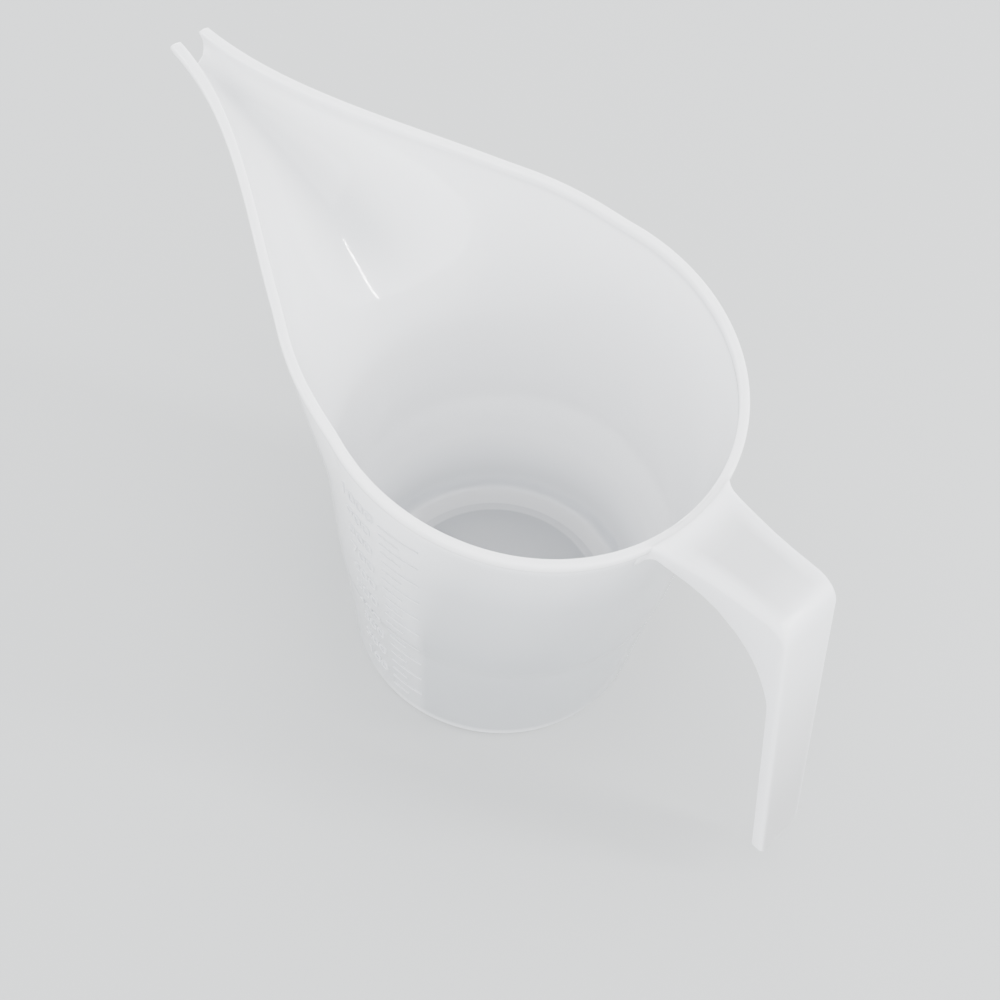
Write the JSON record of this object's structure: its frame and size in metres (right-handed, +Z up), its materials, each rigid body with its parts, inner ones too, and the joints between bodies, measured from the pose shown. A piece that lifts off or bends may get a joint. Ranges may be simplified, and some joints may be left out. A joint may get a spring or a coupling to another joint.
{
  "type": "graduated jug",
  "caption": "Translucent one-litre measuring jug with a long funnel spout, an open-ended channel handle and a raised scale, for mixing and pouring liquids.",
  "frame": {"origin": "centre of the foot, on the surface that the jug stands on", "axes": "+Z up along the cup's axis, +X towards the spout's tip, the handle on the -X side, the raised scale on the +Y side"},
  "size_m": [0.2678, 0.1196, 0.153],
  "materials": {
    "cup_polypropylene": "translucent milky white, smooth moulded",
    "handle_polypropylene": "translucent milky white, smooth moulded",
    "raised_scale": "translucent milky white, raised in the moulding"
  },
  "bodies": {
    "root": {"foot_ring": "cup_polypropylene", "cup_floor": "cup_polypropylene", "lower_wall": "cup_polypropylene", "shoulder": "cup_polypropylene", "upper_wall": "cup_polypropylene", "spout": "cup_polypropylene", "rim_bead": "cup_polypropylene", "handle_top_plate": "handle_polypropylene", "handle_bend": "handle_polypropylene", "handle_back_plate": "handle_polypropylene", "handle_flange_left": "handle_polypropylene", "handle_flange_right": "handle_polypropylene", "scale_lines": "raised_scale", "scale_numerals": "raised_scale"}
  },
  "joints": []
}
